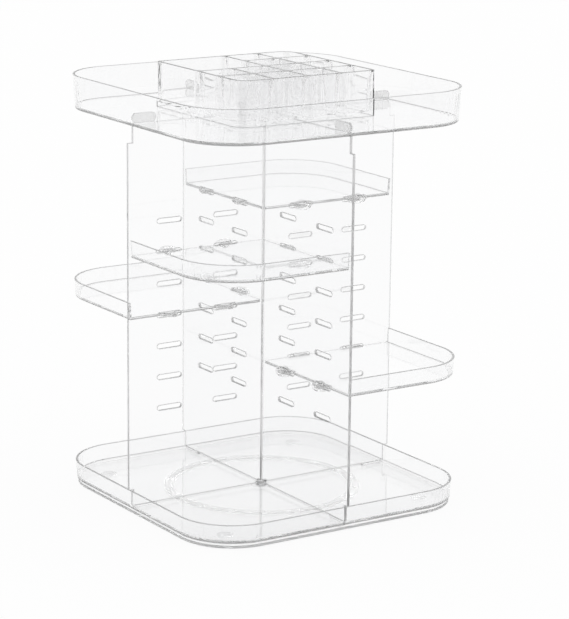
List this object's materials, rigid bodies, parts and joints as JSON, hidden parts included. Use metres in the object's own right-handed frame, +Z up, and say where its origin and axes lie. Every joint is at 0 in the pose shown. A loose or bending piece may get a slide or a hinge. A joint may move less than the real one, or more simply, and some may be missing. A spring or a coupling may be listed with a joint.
{
  "type": "rotating cosmetics organizer",
  "caption": "Clear rotating cosmetics organizer: two slotted cross panels between a bottom tray on a ball race and a top tray, with hook-in quarter shelves and a lift-off lipstick holder.",
  "frame": {"origin": "middle of the footprint, on the surface that the pads stand on", "axes": "+Z up along the turning axis, X and Y along the two cross panels, front quarter towards -X -Y"},
  "size_m": [0.23, 0.23, 0.321],
  "materials": {
    "clear_plastic": "clear colourless acrylic, polished",
    "pivot_plastic": "clear moulded plastic",
    "cage_plastic": "clear moulded plastic",
    "ball_plastic": "translucent polished balls",
    "clear_pad": "soft clear anti-slip pad"
  },
  "bodies": {
    "base": {"base_plate": "clear_plastic", "foot_pad_1": "clear_pad", "foot_pad_2": "clear_pad", "foot_pad_3": "clear_pad", "foot_pad_4": "clear_pad"},
    "carousel": {"bottom_tray": "clear_plastic", "cross_panel_x": "clear_plastic", "cross_panel_y": "clear_plastic", "top_tray": "clear_plastic", "pivot_pin": "pivot_plastic", "pivot_washer": "pivot_plastic", "tongue_socket_back_inner": "clear_plastic", "tongue_socket_back_outer": "clear_plastic", "tongue_socket_left_inner": "clear_plastic", "tongue_socket_left_outer": "clear_plastic", "tongue_socket_front_inner": "clear_plastic", "tongue_socket_front_outer": "clear_plastic", "tongue_socket_right_inner": "clear_plastic", "tongue_socket_right_outer": "clear_plastic"},
    "ball_race": {"ball_cage": "cage_plastic", "bearing_balls": "ball_plastic"},
    "shelf_back": {"shelf_tray_back": "clear_plastic"},
    "shelf_left": {"shelf_tray_left": "clear_plastic"},
    "shelf_front": {"shelf_tray_front": "clear_plastic"},
    "shelf_right": {"shelf_tray_right": "clear_plastic"},
    "holder": {"lipstick_holder": "clear_plastic"}
  },
  "joints": [
    {"name": "carousel_turn", "type": "hinge", "parent": "base", "child": "carousel", "pos_m": [0, 0, 0], "axis": [0, 0, 1], "continuous": true},
    {"name": "ball_race_turn", "type": "hinge", "parent": "base", "child": "ball_race", "pos_m": [0, 0, 0], "axis": [0, 0, 1], "continuous": true},
    {"name": "shelf_back_draw", "type": "slide", "parent": "carousel", "child": "shelf_back", "axis": [0.7071, 0.7071, 0], "range_m": [0, 0.16]},
    {"name": "shelf_left_draw", "type": "slide", "parent": "carousel", "child": "shelf_left", "axis": [-0.7071, 0.7071, 0], "range_m": [0, 0.16]},
    {"name": "shelf_front_draw", "type": "slide", "parent": "carousel", "child": "shelf_front", "axis": [-0.7071, -0.7071, 0], "range_m": [0, 0.16]},
    {"name": "shelf_right_draw", "type": "slide", "parent": "carousel", "child": "shelf_right", "axis": [0.7071, -0.7071, 0], "range_m": [0, 0.16]},
    {"name": "holder_lift", "type": "slide", "parent": "carousel", "child": "holder", "axis": [0, 0, 1], "range_m": [0, 0.06]}
  ],
  "couplings": [
    {"joint": "ball_race_turn", "follows": "carousel_turn", "ratio": 0.5}
  ]
}
